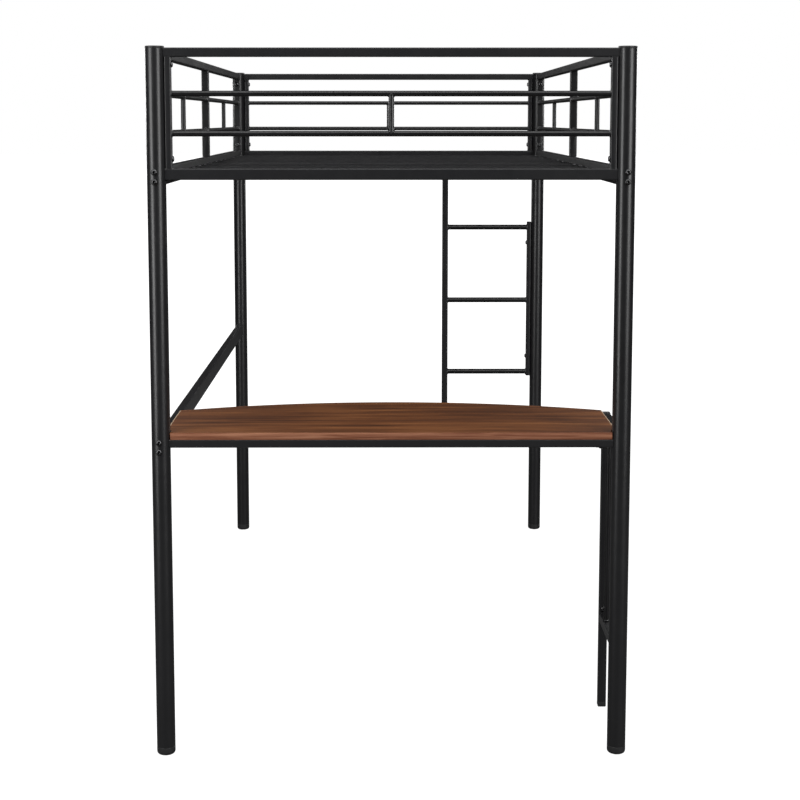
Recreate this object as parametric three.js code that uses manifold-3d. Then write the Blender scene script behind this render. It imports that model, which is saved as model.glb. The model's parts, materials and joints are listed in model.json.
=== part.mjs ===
// A twin loft bed in black steel tube, with a desk under one end and a ladder at the other.
// Millimetres. X runs across the bed, Y runs along it from the desk end (near) to the ladder
// end (far), and Z is up. The origin is on the floor, under the middle of the bed.

import * as THREE from "three";
import { mergeVertices } from "three/addons/utils/BufferGeometryUtils.js";
import Module from "manifold-3d";

const wasm = await Module();
wasm.setup();

// ---------- Driving dimensions ----------

// Overall
const POST_SPACING_X = 1030; // between post centres across the bed
const POST_SPACING_Y = 1940; // between post centres along the bed
const TOTAL_HEIGHT = 1600;
const SEAT_GAP = 0.3; // between two pieces that touch

// Posts, with their feet and caps
const POST_RADIUS = 21;
const POST_WALL = 1.2;
const POST_SIDES = 24;
const FOOT_HEIGHT = 18; // visible height of a foot
const FOOT_ROUNDING = 7;
const CAP_HEIGHT = 5; // visible height of a post cap
const PLUG_RADIUS = POST_RADIUS - POST_WALL - SEAT_GAP;
const FOOT_PLUG = 22; // how far a foot goes up into its post
const CAP_PLUG = 15; // how far a cap goes down into its post

// Tubes and bars
const TUBE = 20; // side of the square frame tube
const TUBE_WALL = 1;
const SIDE_TUBE_WIDTH = 14; // of the tubes that lie against the posts
const BAR_RADIUS = 6.25; // of the thin guard bars
const BAR_WALL = 1;
const BAR_SIDES = 10;
const SIDE_LINE_X = 517; // centre line of everything along the two long sides

// Guards and deck
const TOP_RAIL_TOP = 1596;
const UPPER_BAR_Z = 1497;
const LOWER_BAR_Z = 1410;
const END_RAIL_TOP = 1334;
const END_RAIL_HEIGHT = 25;
const SIDE_RAIL_TOP = 1336;
const SIDE_RAIL_HEIGHT = 41;
const END_PLATE = 2; // plate that closes each end of a bolted side rail
const SLAT_COUNT = 14;
const SLAT_WIDTH = 30;
const SLAT_THICKNESS = 10;
const SLAT_WALL = 0.8;
const SLAT_TOP = 1320; // the slats lie between the side rails, on their ledges
const LEDGE_WIDTH = 15;
const LEDGE_THICKNESS = 3;
const LEDGE_HALF_LENGTH = 940;

// Desk
const BOARD_TOP = 746.5;
const BOARD_THICKNESS = 16;
const BOARD_HALF_WIDTH = 506;
const BOARD_END_Y = -713; // where the straight ends meet the curved back edge
const BOARD_BACK_Y = -606; // the back edge in the middle
const BOARD_NOTCH = 0.6; // clearance of the front corners round the posts
const DESK_RAIL_HEIGHT = 18;
const REAR_DESK_RAIL_Y = -722;
const DESK_SIDE_RAIL_TOP = 735;
const DESK_SIDE_RAIL_HEIGHT = 40;

// Side frame on the right, with its short leg
const LEG_X = 521;
const LEG_Y = -690;
const LEG_TOP = 733.7;
const LEG_FOOT_HEIGHT = 12;
const LEG_CAP_HEIGHT = 3;
const LEG_PLUG = 20; // how far the foot and the cap go into the leg
const LEG_LOWER_RAIL_TOP = 236;
const LEG_BAR_Y = -750; // of the round bar between the two short rails
const LEG_BOLT_Z = 653;

// Ladder and far lower rail
const STEP_RAIL_TOP = 319;
const STEP_RAIL_HEIGHT = 22;
const LADDER_STILE_X = 196;
const RUNG_HEIGHTS = [564, 816, 1070];
const RUNG_RADIUS = 8.75;
const RUNG_WALL = 1.2;
const SHORT_STILE_BOTTOM = 550;
const SHORT_STILE_TOP = 1089;
const LADDER_BOLT_HEIGHTS = [619, 1017];

// Bolts
const BOLT_RADIUS = 3.8;
const BOLT_HOLE_RADIUS = 4.1;
const BOLT_HEAD_RADIUS = 7;
const BOLT_HEAD_HEIGHT = 4.2;
const BOLT_PITCH = 21; // between the two bolts at one end of a rail
const BOLT_SIDES = 12;
const RAIL_BOLT_LENGTH = 62;

// ---------- Places worked out from the dimensions ----------

const POST_X = POST_SPACING_X / 2;
const POST_Y = POST_SPACING_Y / 2;
const BETWEEN_POSTS_X = POST_X - POST_RADIUS - SEAT_GAP; // half length of a crosswise rail
const BETWEEN_POSTS_Y = POST_Y - POST_RADIUS - SEAT_GAP; // half length of a lengthwise rail
const SIDE_INNER_X = SIDE_LINE_X - TUBE / 2; // inner face of the lengthwise rails
const SIDES = { left: -1, right: 1 };
const ENDS = { near: -1, far: 1 };

// ---------- Materials ----------

function blackSteel() {
  return new THREE.MeshStandardMaterial({ color: 0x1c1c1e, roughness: 0.42, metalness: 0.35 });
}

function boltSteel() {
  return new THREE.MeshStandardMaterial({ color: 0x2a2a2c, roughness: 0.3, metalness: 0.8 });
}

function blackPlastic() {
  return new THREE.MeshStandardMaterial({ color: 0x141414, roughness: 0.6, metalness: 0 });
}

function walnutBoard() {
  return new THREE.MeshStandardMaterial({ color: 0x6b4330, roughness: 0.5, metalness: 0 });
}

// ---------- Solids ----------

const bed = new THREE.Group();
bed.name = "loft_bed_with_desk";

function toSolid(geometry) {
  geometry.deleteAttribute("normal");
  geometry.deleteAttribute("uv");
  const merged = mergeVertices(geometry, 1e-4);
  return new wasm.Manifold(
    new wasm.Mesh({
      numProp: 3,
      vertProperties: new Float32Array(merged.attributes.position.array),
      triVerts: new Uint32Array(merged.index.array),
    }),
  );
}

function addPiece(name, solid, material) {
  const { vertProperties, triVerts } = solid.getMesh();
  const geometry = new THREE.BufferGeometry();
  geometry.setAttribute("position", new THREE.BufferAttribute(vertProperties, 3));
  geometry.setIndex(new THREE.BufferAttribute(triVerts, 1));
  geometry.computeVertexNormals();
  const mesh = new THREE.Mesh(geometry, material);
  mesh.name = name;
  bed.add(mesh);
}

function union(solids) {
  return solids.reduce((sum, solid) => sum.add(solid));
}

function cutAll(solid, cutters) {
  return cutters.reduce((rest, cutter) => rest.subtract(cutter), solid);
}

// A range of one coordinate, given by its middle and its full width.
function span(middle, width) {
  return [middle - width / 2, middle + width / 2];
}

// A box is { x: [low, high], y: [low, high], z: [low, high] }.
function block(box) {
  const [x, y, z] = [box.x, box.y, box.z];
  const geometry = new THREE.BoxGeometry(x[1] - x[0], y[1] - y[0], z[1] - z[0]);
  geometry.translate((x[0] + x[1]) / 2, (y[0] + y[1]) / 2, (z[0] + z[1]) / 2);
  return toSolid(geometry);
}

// The hollow of a tube whose outside is the box: it runs along the axis and past both ends by
// `past`, which is negative where the ends are closed by plates.
function hollow(box, axis, wall = TUBE_WALL, past = 1) {
  const inner = {};
  for (const key of ["x", "y", "z"]) {
    const inset = key === axis ? -past : wall;
    inner[key] = [box[key][0] + inset, box[key][1] - inset];
  }
  return block(inner);
}

function openTube(box, axis, wall = TUBE_WALL) {
  return block(box).subtract(hollow(box, axis, wall));
}

// A round bar along an axis: `at` holds its two other coordinates.
function roundBar(axis, from, to, at, radius, sides = BAR_SIDES, endRadius = radius) {
  const geometry = new THREE.CylinderGeometry(endRadius, radius, to - from, sides);
  if (axis === "x") geometry.rotateZ(-Math.PI / 2);
  if (axis === "z") geometry.rotateX(Math.PI / 2);
  const middle = (from + to) / 2;
  geometry.translate(at.x ?? middle, at.y ?? middle, at.z ?? middle);
  return toSolid(geometry);
}

// A solid of revolution about Z, from [radius, height] points that start and end on the axis.
function turned(points, x, y) {
  const profile = points.map(([radius, height]) => new THREE.Vector2(radius, height));
  const geometry = new THREE.LatheGeometry(profile, POST_SIDES);
  geometry.rotateX(Math.PI / 2);
  geometry.translate(x, y, 0);
  return toSolid(geometry);
}

// A bolt along an axis. `seat` is where its head rests, and `way` (1 or -1) is the direction
// in which its shank goes from there.
function bolt(axis, seat, way, at, length) {
  const headEnd = seat - way * BOLT_HEAD_HEIGHT;
  const [low, high] = way > 0 ? [headEnd, seat] : [seat, headEnd];
  const radii = [BOLT_HEAD_RADIUS, BOLT_HEAD_RADIUS * 0.72];
  const [lowRadius, highRadius] = way > 0 ? radii.reverse() : radii;
  const head = roundBar(axis, low, high, at, lowRadius, BOLT_SIDES, highRadius);
  const ends = [seat - way, seat + way * length].sort((a, b) => a - b);
  return head.add(roundBar(axis, ends[0], ends[1], at, BOLT_RADIUS, BOLT_SIDES));
}

function boltHole(axis, from, to, at) {
  return roundBar(axis, from, to, at, BOLT_HOLE_RADIUS, BOLT_SIDES);
}

function pairHeights(railTop, railHeight) {
  const middle = railTop - railHeight / 2;
  return { lower: middle - BOLT_PITCH / 2, upper: middle + BOLT_PITCH / 2 };
}

const DECK_BOLT_HEIGHTS = pairHeights(SIDE_RAIL_TOP, SIDE_RAIL_HEIGHT);
const DESK_BOLT_HEIGHTS = pairHeights(DESK_SIDE_RAIL_TOP, DESK_SIDE_RAIL_HEIGHT);

// ---------- Posts, feet and caps ----------

// Heights of the bolts that pass through a post along Y.
function railBoltHeights(side) {
  const heights = Object.values(DECK_BOLT_HEIGHTS);
  return side === "left" ? heights.concat(Object.values(DESK_BOLT_HEIGHTS)) : heights;
}

function post(side, end) {
  const centre = { x: SIDES[side] * POST_X, y: ENDS[end] * POST_Y };
  const bottom = FOOT_HEIGHT + SEAT_GAP;
  const top = TOTAL_HEIGHT - CAP_HEIGHT - SEAT_GAP;
  const bore = roundBar("z", bottom - 1, top + 1, centre, POST_RADIUS - POST_WALL, POST_SIDES);
  const tube = roundBar("z", bottom, top, centre, POST_RADIUS, POST_SIDES).subtract(bore);
  const reach = POST_RADIUS + 5;
  const holes = railBoltHeights(side).map((z) =>
    boltHole("y", centre.y - reach, centre.y + reach, { x: SIDES[side] * SIDE_LINE_X, z }),
  );
  if (side === "right" && end === "far") {
    for (const z of LADDER_BOLT_HEIGHTS) {
      holes.push(boltHole("x", centre.x - reach, centre.x, { y: centre.y, z }));
    }
  }
  return cutAll(tube, holes);
}

function postFoot(x, y) {
  const points = [[0, 0]];
  const steps = 5;
  for (let i = 0; i <= steps; i += 1) {
    const angle = (Math.PI / 2) * (i / steps);
    points.push([
      POST_RADIUS - FOOT_ROUNDING + FOOT_ROUNDING * Math.sin(angle),
      FOOT_ROUNDING - FOOT_ROUNDING * Math.cos(angle),
    ]);
  }
  points.push([POST_RADIUS, FOOT_HEIGHT], [PLUG_RADIUS, FOOT_HEIGHT]);
  points.push([PLUG_RADIUS, FOOT_HEIGHT + FOOT_PLUG], [0, FOOT_HEIGHT + FOOT_PLUG]);
  return turned(points, x, y);
}

function postCap(x, y) {
  const seat = TOTAL_HEIGHT - CAP_HEIGHT;
  const bevel = 1.5;
  const points = [
    [0, seat - CAP_PLUG],
    [PLUG_RADIUS, seat - CAP_PLUG],
    [PLUG_RADIUS, seat],
    [POST_RADIUS, seat],
    [POST_RADIUS, TOTAL_HEIGHT - bevel],
    [POST_RADIUS - bevel, TOTAL_HEIGHT],
    [0, TOTAL_HEIGHT],
  ];
  return turned(points, x, y);
}

for (const [end, endSign] of Object.entries(ENDS)) {
  for (const [side, sideSign] of Object.entries(SIDES)) {
    const x = sideSign * POST_X;
    const y = endSign * POST_Y;
    addPiece(`post_${end}_${side}`, post(side, end), blackSteel());
    addPiece(`post_foot_${end}_${side}`, postFoot(x, y), blackPlastic());
    addPiece(`post_cap_${end}_${side}`, postCap(x, y), blackPlastic());
  }
}

// ---------- End frames ----------

// A welded frame between the two posts of one end: a top rail, two side tubes against the
// posts, the deck end rail, two bars and a short middle upright.
function endFrame(y) {
  const across = [-BETWEEN_POSTS_X, BETWEEN_POSTS_X];
  const depth = span(y, TUBE);
  const topRail = { x: across, y: depth, z: [TOP_RAIL_TOP - TUBE, TOP_RAIL_TOP] };
  const deckRail = { x: across, y: depth, z: [END_RAIL_TOP - END_RAIL_HEIGHT, END_RAIL_TOP] };
  const tubeX = BETWEEN_POSTS_X - SIDE_TUBE_WIDTH / 2;
  const tubeZ = [END_RAIL_TOP - END_RAIL_HEIGHT / 2, TOP_RAIL_TOP - TUBE / 2];
  const sideTubes = Object.values(SIDES).map((sign) => ({
    x: span(sign * tubeX, SIDE_TUBE_WIDTH),
    y: depth,
    z: tubeZ,
  }));
  const barsOfRadius = (radius) =>
    [UPPER_BAR_Z, LOWER_BAR_Z].map((z) => roundBar("x", -tubeX, tubeX, { y, z }, radius));
  const upright = roundBar("z", LOWER_BAR_Z, UPPER_BAR_Z, { x: 0, y }, BAR_RADIUS);
  const blocks = [topRail, deckRail, ...sideTubes].map(block);
  const outside = union([...blocks, ...barsOfRadius(BAR_RADIUS), upright]);
  const inside = [
    hollow(topRail, "x"),
    hollow(deckRail, "x"),
    ...sideTubes.map((box) => hollow(box, "z", TUBE_WALL, 0)),
    ...barsOfRadius(BAR_RADIUS - BAR_WALL),
  ];
  return cutAll(outside, inside);
}

for (const [end, sign] of Object.entries(ENDS)) {
  addPiece(`end_frame_${end}`, endFrame(sign * POST_Y), blackSteel());
}

// ---------- Side guards ----------

// A welded guard along one side: a top rail, an end tube against each post, a middle tube,
// two bars and two short uprights. Its tubes stand on the deck side rail.
function sideGuard(x) {
  const width = span(x, TUBE);
  const along = [-BETWEEN_POSTS_Y, BETWEEN_POSTS_Y];
  const topRail = { x: width, y: along, z: [TOP_RAIL_TOP - TUBE, TOP_RAIL_TOP] };
  const tubeY = BETWEEN_POSTS_Y - TUBE / 2;
  const tubes = [-tubeY, 0, tubeY].map((y) => ({
    x: width,
    y: span(y, TUBE),
    z: [SIDE_RAIL_TOP + SEAT_GAP, TOP_RAIL_TOP - TUBE / 2],
  }));
  const barsOfRadius = (radius) =>
    [UPPER_BAR_Z, LOWER_BAR_Z].map((z) => roundBar("y", -tubeY, tubeY, { x, z }, radius));
  const uprights = [-1, 1].map((sign) =>
    roundBar("z", LOWER_BAR_Z, UPPER_BAR_Z, { x, y: (sign * POST_Y) / 2 }, BAR_RADIUS),
  );
  const blocks = [topRail, ...tubes].map(block);
  const outside = union([...blocks, ...barsOfRadius(BAR_RADIUS), ...uprights]);
  const inside = [
    hollow(topRail, "y"),
    ...tubes.map((box) => hollow(box, "z", TUBE_WALL, 1)),
    ...barsOfRadius(BAR_RADIUS - BAR_WALL),
  ];
  return cutAll(outside, inside);
}

for (const [side, sign] of Object.entries(SIDES)) {
  addPiece(`side_guard_${side}`, sideGuard(sign * SIDE_LINE_X), blackSteel());
}

// ---------- Bolted side rails and the deck ----------

// A lengthwise tube from post to post, closed at each end by a plate with two bolt holes.
function boltedRail(x, top, height, boltHeights) {
  const box = {
    x: span(x, TUBE),
    y: [-BETWEEN_POSTS_Y, BETWEEN_POSTS_Y],
    z: [top - height, top],
  };
  const holes = [];
  for (const z of Object.values(boltHeights)) {
    for (const sign of Object.values(ENDS)) {
      const outer = sign * (BETWEEN_POSTS_Y + 5);
      const inner = sign * (BETWEEN_POSTS_Y - 10);
      const [from, to] = [outer, inner].sort((a, b) => a - b);
      holes.push(boltHole("y", from, to, { x, z }));
    }
  }
  return cutAll(block(box), [hollow(box, "y", TUBE_WALL, -END_PLATE), ...holes]);
}

function addRailBolts(prefix, side, heights) {
  const x = SIDES[side] * SIDE_LINE_X;
  for (const [end, sign] of Object.entries(ENDS)) {
    const seat = sign * (POST_Y + POST_RADIUS + SEAT_GAP);
    for (const [level, z] of Object.entries(heights)) {
      const name = `${prefix}_bolt_${end}_${side}_${level}`;
      addPiece(name, bolt("y", seat, -sign, { x, z }, RAIL_BOLT_LENGTH), boltSteel());
    }
  }
}

const SLAT_BOTTOM = SLAT_TOP - SLAT_THICKNESS;
const SLAT_HALF_LENGTH = SIDE_INNER_X - SEAT_GAP;

// The flat bar welded along the inner face of a deck side rail, which carries the slats.
function ledge(sign) {
  const top = SLAT_BOTTOM - SEAT_GAP;
  const intoWall = TUBE_WALL / 2;
  return block({
    x: span(sign * (SIDE_INNER_X + intoWall - LEDGE_WIDTH / 2), LEDGE_WIDTH),
    y: [-LEDGE_HALF_LENGTH, LEDGE_HALF_LENGTH],
    z: [top - LEDGE_THICKNESS, top],
  });
}

for (const [side, sign] of Object.entries(SIDES)) {
  const rail = boltedRail(sign * SIDE_LINE_X, SIDE_RAIL_TOP, SIDE_RAIL_HEIGHT, DECK_BOLT_HEIGHTS);
  addPiece(`deck_side_rail_${side}`, rail.add(ledge(sign)), blackSteel());
  addRailBolts("deck", side, DECK_BOLT_HEIGHTS);
}

for (let i = 0; i < SLAT_COUNT; i += 1) {
  const y = -POST_Y + (POST_SPACING_Y * (i + 1)) / (SLAT_COUNT + 1);
  const box = {
    x: [-SLAT_HALF_LENGTH, SLAT_HALF_LENGTH],
    y: span(y, SLAT_WIDTH),
    z: [SLAT_BOTTOM, SLAT_TOP],
  };
  const number = String(i + 1).padStart(2, "0");
  addPiece(`deck_slat_${number}`, openTube(box, "x", SLAT_WALL), blackSteel());
}

// ---------- Desk ----------

// A board with square ends, front corners notched round the posts, and a back edge that is
// one shallow arc.
function deskBoard() {
  const frontY = -POST_Y - TUBE / 2;
  const notchX = POST_X - POST_RADIUS - BOARD_NOTCH;
  const notchY = -POST_Y + POST_RADIUS + BOARD_NOTCH;
  const rise = BOARD_BACK_Y - BOARD_END_Y;
  const arcRadius = (BOARD_HALF_WIDTH ** 2 + rise ** 2) / (2 * rise);
  const arcCentreY = BOARD_BACK_Y - arcRadius;
  const startAngle = Math.atan2(BOARD_END_Y - arcCentreY, BOARD_HALF_WIDTH);
  const outline = new THREE.Shape();
  outline.moveTo(-notchX, frontY);
  outline.lineTo(notchX, frontY);
  outline.lineTo(notchX, notchY);
  outline.lineTo(BOARD_HALF_WIDTH, notchY);
  outline.lineTo(BOARD_HALF_WIDTH, BOARD_END_Y);
  outline.absarc(0, arcCentreY, arcRadius, startAngle, Math.PI - startAngle, false);
  outline.lineTo(-BOARD_HALF_WIDTH, notchY);
  outline.lineTo(-notchX, notchY);
  outline.closePath();
  const geometry = new THREE.ExtrudeGeometry(outline, {
    depth: BOARD_THICKNESS,
    bevelEnabled: false,
    curveSegments: 36,
  });
  geometry.translate(0, 0, BOARD_TOP - BOARD_THICKNESS);
  return toSolid(geometry);
}

const DESK_RAIL_TOP = BOARD_TOP - BOARD_THICKNESS - SEAT_GAP;

const frontDeskRail = {
  x: [-BETWEEN_POSTS_X, BETWEEN_POSTS_X],
  y: span(-POST_Y, TUBE),
  z: [DESK_RAIL_TOP - DESK_RAIL_HEIGHT, DESK_RAIL_TOP],
};
const rearDeskRail = {
  x: [-SIDE_INNER_X + SEAT_GAP, LEG_X - TUBE / 2 - SEAT_GAP],
  y: span(REAR_DESK_RAIL_Y, TUBE),
  z: [DESK_RAIL_TOP - DESK_RAIL_HEIGHT, DESK_RAIL_TOP],
};
const deskSideRail = boltedRail(
  -SIDE_LINE_X,
  DESK_SIDE_RAIL_TOP,
  DESK_SIDE_RAIL_HEIGHT,
  DESK_BOLT_HEIGHTS,
);

addPiece("desk_board", deskBoard(), walnutBoard());
addPiece("desk_front_rail", openTube(frontDeskRail, "x"), blackSteel());
addPiece("desk_rear_rail", openTube(rearDeskRail, "x"), blackSteel());
addPiece("desk_side_rail_left", deskSideRail, blackSteel());
addRailBolts("desk", "left", DESK_BOLT_HEIGHTS);

// ---------- Side frame on the right, with its short leg ----------

const LEG_WIDTH_X = span(LEG_X, TUBE);
const LEG_DEPTH_Y = span(LEG_Y, TUBE);
const SHORT_RAIL_Y = [-BETWEEN_POSTS_Y, LEG_Y - TUBE / 2 - SEAT_GAP];

function deskLeg() {
  const box = { x: LEG_WIDTH_X, y: LEG_DEPTH_Y, z: [LEG_FOOT_HEIGHT + SEAT_GAP, LEG_TOP] };
  const hole = boltHole("x", LEG_WIDTH_X[0] - 5, LEG_WIDTH_X[1] + 5, { y: LEG_Y, z: LEG_BOLT_Z });
  return openTube(box, "z").subtract(hole);
}

// A square plug: a plate over or under the leg's open end, and a block that goes into it.
function legPlug(plateZ, blockZ) {
  const inset = TUBE_WALL + SEAT_GAP;
  const plate = block({ x: LEG_WIDTH_X, y: LEG_DEPTH_Y, z: plateZ });
  const insert = block({
    x: span(LEG_X, TUBE - 2 * inset),
    y: span(LEG_Y, TUBE - 2 * inset),
    z: blockZ,
  });
  return plate.add(insert);
}

function shortRail(top, height) {
  return openTube({ x: LEG_WIDTH_X, y: SHORT_RAIL_Y, z: [top - height, top] }, "y");
}

// The round bar that stands between the lower and the upper short rail.
function sideFrameBar() {
  const bottom = LEG_LOWER_RAIL_TOP + SEAT_GAP;
  const top = DESK_SIDE_RAIL_TOP - DESK_SIDE_RAIL_HEIGHT - SEAT_GAP;
  const centre = { x: LEG_X, y: LEG_BAR_Y };
  const bore = roundBar("z", bottom - 1, top + 1, centre, BAR_RADIUS - BAR_WALL);
  return roundBar("z", bottom, top, centre, BAR_RADIUS).subtract(bore);
}

const capBottom = LEG_TOP + SEAT_GAP;
const legFoot = legPlug([0, LEG_FOOT_HEIGHT], [LEG_FOOT_HEIGHT - 1, LEG_FOOT_HEIGHT + LEG_PLUG]);
const legCap = legPlug([capBottom, capBottom + LEG_CAP_HEIGHT], [LEG_TOP - LEG_PLUG, capBottom + 1]);
const LEG_BOLT_LENGTH = TUBE + 14; // its threaded end stands out on the inner side
const legBolt = bolt(
  "x",
  LEG_WIDTH_X[1] + SEAT_GAP,
  -1,
  { y: LEG_Y, z: LEG_BOLT_Z },
  LEG_BOLT_LENGTH,
);

addPiece("desk_leg", deskLeg(), blackSteel());
addPiece("desk_leg_foot", legFoot, blackPlastic());
addPiece("desk_leg_cap", legCap, blackPlastic());
addPiece("desk_leg_bolt", legBolt, boltSteel());
addPiece("desk_short_rail_upper", shortRail(DESK_SIDE_RAIL_TOP, DESK_SIDE_RAIL_HEIGHT), blackSteel());
addPiece("desk_short_rail_lower", shortRail(LEG_LOWER_RAIL_TOP, TUBE), blackSteel());
addPiece("desk_short_bar", sideFrameBar(), blackSteel());

// ---------- Ladder and far lower rail ----------

const stepRail = {
  x: [-BETWEEN_POSTS_X, BETWEEN_POSTS_X],
  y: span(POST_Y, TUBE),
  z: [STEP_RAIL_TOP - STEP_RAIL_HEIGHT, STEP_RAIL_TOP],
};
addPiece("far_step_rail", openTube(stepRail, "x"), blackSteel());

const SHORT_STILE_X = BETWEEN_POSTS_X - SIDE_TUBE_WIDTH / 2;

// A long stile between the step rail and the deck end rail, a short stile bolted to the far
// right post, and the rungs between them.
function ladder() {
  const longStile = {
    x: span(LADDER_STILE_X, TUBE),
    y: span(POST_Y, TUBE),
    z: [STEP_RAIL_TOP + SEAT_GAP, END_RAIL_TOP - END_RAIL_HEIGHT - SEAT_GAP],
  };
  const shortStile = {
    x: span(SHORT_STILE_X, SIDE_TUBE_WIDTH),
    y: span(POST_Y, TUBE),
    z: [SHORT_STILE_BOTTOM, SHORT_STILE_TOP],
  };
  const rungsOfRadius = (radius) =>
    RUNG_HEIGHTS.map((z) =>
      roundBar("x", LADDER_STILE_X, SHORT_STILE_X, { y: POST_Y, z }, radius, BOLT_SIDES),
    );
  const holes = LADDER_BOLT_HEIGHTS.map((z) =>
    boltHole("x", SHORT_STILE_X - SIDE_TUBE_WIDTH, POST_X, { y: POST_Y, z }),
  );
  const outside = union([block(longStile), block(shortStile), ...rungsOfRadius(RUNG_RADIUS)]);
  const inside = [
    hollow(longStile, "z"),
    hollow(shortStile, "z"),
    ...rungsOfRadius(RUNG_RADIUS - RUNG_WALL),
  ];
  return cutAll(outside, [...inside, ...holes]);
}

addPiece("ladder", ladder(), blackSteel());
for (const [index, z] of LADDER_BOLT_HEIGHTS.entries()) {
  const seat = SHORT_STILE_X - SIDE_TUBE_WIDTH / 2 - SEAT_GAP;
  const level = ["lower", "upper"][index];
  const length = SIDE_TUBE_WIDTH + 12;
  addPiece(`ladder_bolt_${level}`, bolt("x", seat, 1, { y: POST_Y, z }, length), boltSteel());
}

export default bed;
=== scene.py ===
"""The looks of a twin loft bed with a desk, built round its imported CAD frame.

Lengths in this script are millimetres until a mesh is made, which is in metres. X runs across
the bed, Y along it from the desk end (near) to the ladder end (far), and Z is up.
"""

import json
import math
import random

import bpy
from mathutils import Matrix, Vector

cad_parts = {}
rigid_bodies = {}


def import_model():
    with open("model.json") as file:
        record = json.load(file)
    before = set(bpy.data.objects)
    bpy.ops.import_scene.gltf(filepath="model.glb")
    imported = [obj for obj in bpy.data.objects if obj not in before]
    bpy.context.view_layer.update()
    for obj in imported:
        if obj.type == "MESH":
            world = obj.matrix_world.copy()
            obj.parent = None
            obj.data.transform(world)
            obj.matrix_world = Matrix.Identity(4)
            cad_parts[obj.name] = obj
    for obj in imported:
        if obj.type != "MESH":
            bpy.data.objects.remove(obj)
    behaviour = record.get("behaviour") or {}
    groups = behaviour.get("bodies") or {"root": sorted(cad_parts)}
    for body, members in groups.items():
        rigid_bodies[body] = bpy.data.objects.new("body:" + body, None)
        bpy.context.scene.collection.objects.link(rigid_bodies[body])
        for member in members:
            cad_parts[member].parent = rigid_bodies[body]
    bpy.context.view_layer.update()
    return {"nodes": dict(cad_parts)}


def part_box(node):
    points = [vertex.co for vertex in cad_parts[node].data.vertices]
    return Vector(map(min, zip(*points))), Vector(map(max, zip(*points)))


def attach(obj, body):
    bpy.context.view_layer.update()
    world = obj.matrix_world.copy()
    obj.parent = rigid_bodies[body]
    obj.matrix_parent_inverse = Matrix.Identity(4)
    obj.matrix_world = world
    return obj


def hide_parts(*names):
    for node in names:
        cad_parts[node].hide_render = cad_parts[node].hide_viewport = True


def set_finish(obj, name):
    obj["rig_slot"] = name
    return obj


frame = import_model()

MM = 0.001
ENDS = {"near": -1, "far": 1}
SIDES = {"left": -1, "right": 1}

# Sizes that the CAD boxes don't give
POST_WALL = 1.2
SEAT_GAP = 0.3  # between two pieces that touch
TUBE_WALL = 1.0
TUBE_CORNER = 2.4  # outer corner radius of the rectangular tubes
RAIL = 20.0
BAR_RADIUS = 6.25
BAR_HEIGHTS = (1497.0, 1410.0)
UPRIGHT_Y = 485.0  # of the short uprights in the side guards
END_RAIL_HEIGHT = 25.0
SIDE_TUBE_WIDTH = 14.0
RUNG_RADIUS = 8.75
RUNG_HEIGHTS = (564.0, 816.0, 1070.0)
SHORT_STILE = (550.0, 1089.0)
LADDER_STILE_X = 196.0
SIDE_LINE_X = 517.0  # centre line of everything along the two long sides
BOLT_PITCH = 21.0  # between the two bolts at one end of a rail
LEDGE_WIDTH, LEDGE_THICKNESS, LEDGE_HALF_LENGTH = 15.0, 3.0, 940.0
SCREW_X = 499.5  # of the screws that hold the slats on the ledges
SCREW_LENGTH, SCREW_SHANK, SCREW_HEAD = 16, 2.2, (4.6, 1.9)
SLAT_WALL, SLAT_CORNER = 0.8, 0.7
WELD_DEPTH = 0.7  # how far a tube or bar reaches into the one it is welded to
FRAME_BOLT_HEIGHTS = {"lower": 1355.0, "upper": 1560.0}
BOLT_REACH = 7  # how far a guard frame's bolt goes past its tube
HEAD_HEIGHT = 4.2
LEG_FRONT_BOLT_Z = 249.0  # of the bolt on the front face of the short desk leg
LEG_FRONT_BOLT_LENGTH = 14  # it ends inside the leg
BAND = 1.0  # thickness of the board's front and back edge bands
END_BAND = 2.2  # thickness of the bands on its two ends, coloured pale as a painted highlight along their top arris
COLLAR_INSET = 2.2  # of the welds at the ends of the bar in the desk's side frame
BOARD_NOTCH = 0.6  # clearance of the board round the posts
BOARD_END_Y = -713.0  # where the board's straight ends meet its curved back edge
CURVED_END_PARTS = 8  # of each flat side of a tube with curved ends
SHARP_ANGLE = 38  # degrees between two faces that meet at a sharp edge

weld_noise = random.Random(11)


def cad_box(node):
    """Lowest and highest corner of a CAD node, in millimetres."""
    low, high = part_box(node)
    return low / MM, high / MM


near_left_low, near_left_high = cad_box("post_near_left")
far_right_low, far_right_high = cad_box("post_far_right")
POST_RADIUS = (near_left_high.x - near_left_low.x) / 2
POST_X = (far_right_low.x + far_right_high.x) / 2
POST_Y = (far_right_low.y + far_right_high.y) / 2
BETWEEN_X = POST_X - POST_RADIUS - SEAT_GAP
BETWEEN_Y = POST_Y - POST_RADIUS - SEAT_GAP


# ---------- Closed skins, as (points, faces) in millimetres ----------


def on_axis(axis, u, v, t):
    """The point at distance t along an axis, with section coordinates u and v."""
    return {"x": Vector((t, u, v)), "y": Vector((u, t, v)), "z": Vector((u, v, t))}[axis]


def loft(rings, wrap=False):
    """A skin over rings of equally many points. It closes on itself, or ends in two flat caps."""
    count = len(rings[0])
    faces = []
    for i in range(len(rings) if wrap else len(rings) - 1):
        a, b = i * count, (i + 1) % len(rings) * count
        for j in range(count):
            k = (j + 1) % count
            faces.append((a + j, a + k, b + k, b + j))
    if not wrap:
        last = (len(rings) - 1) * count
        faces.append(tuple(reversed(range(count))))
        faces.append(tuple(range(last, last + count)))
    return [point for ring in rings for point in ring], faces


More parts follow.
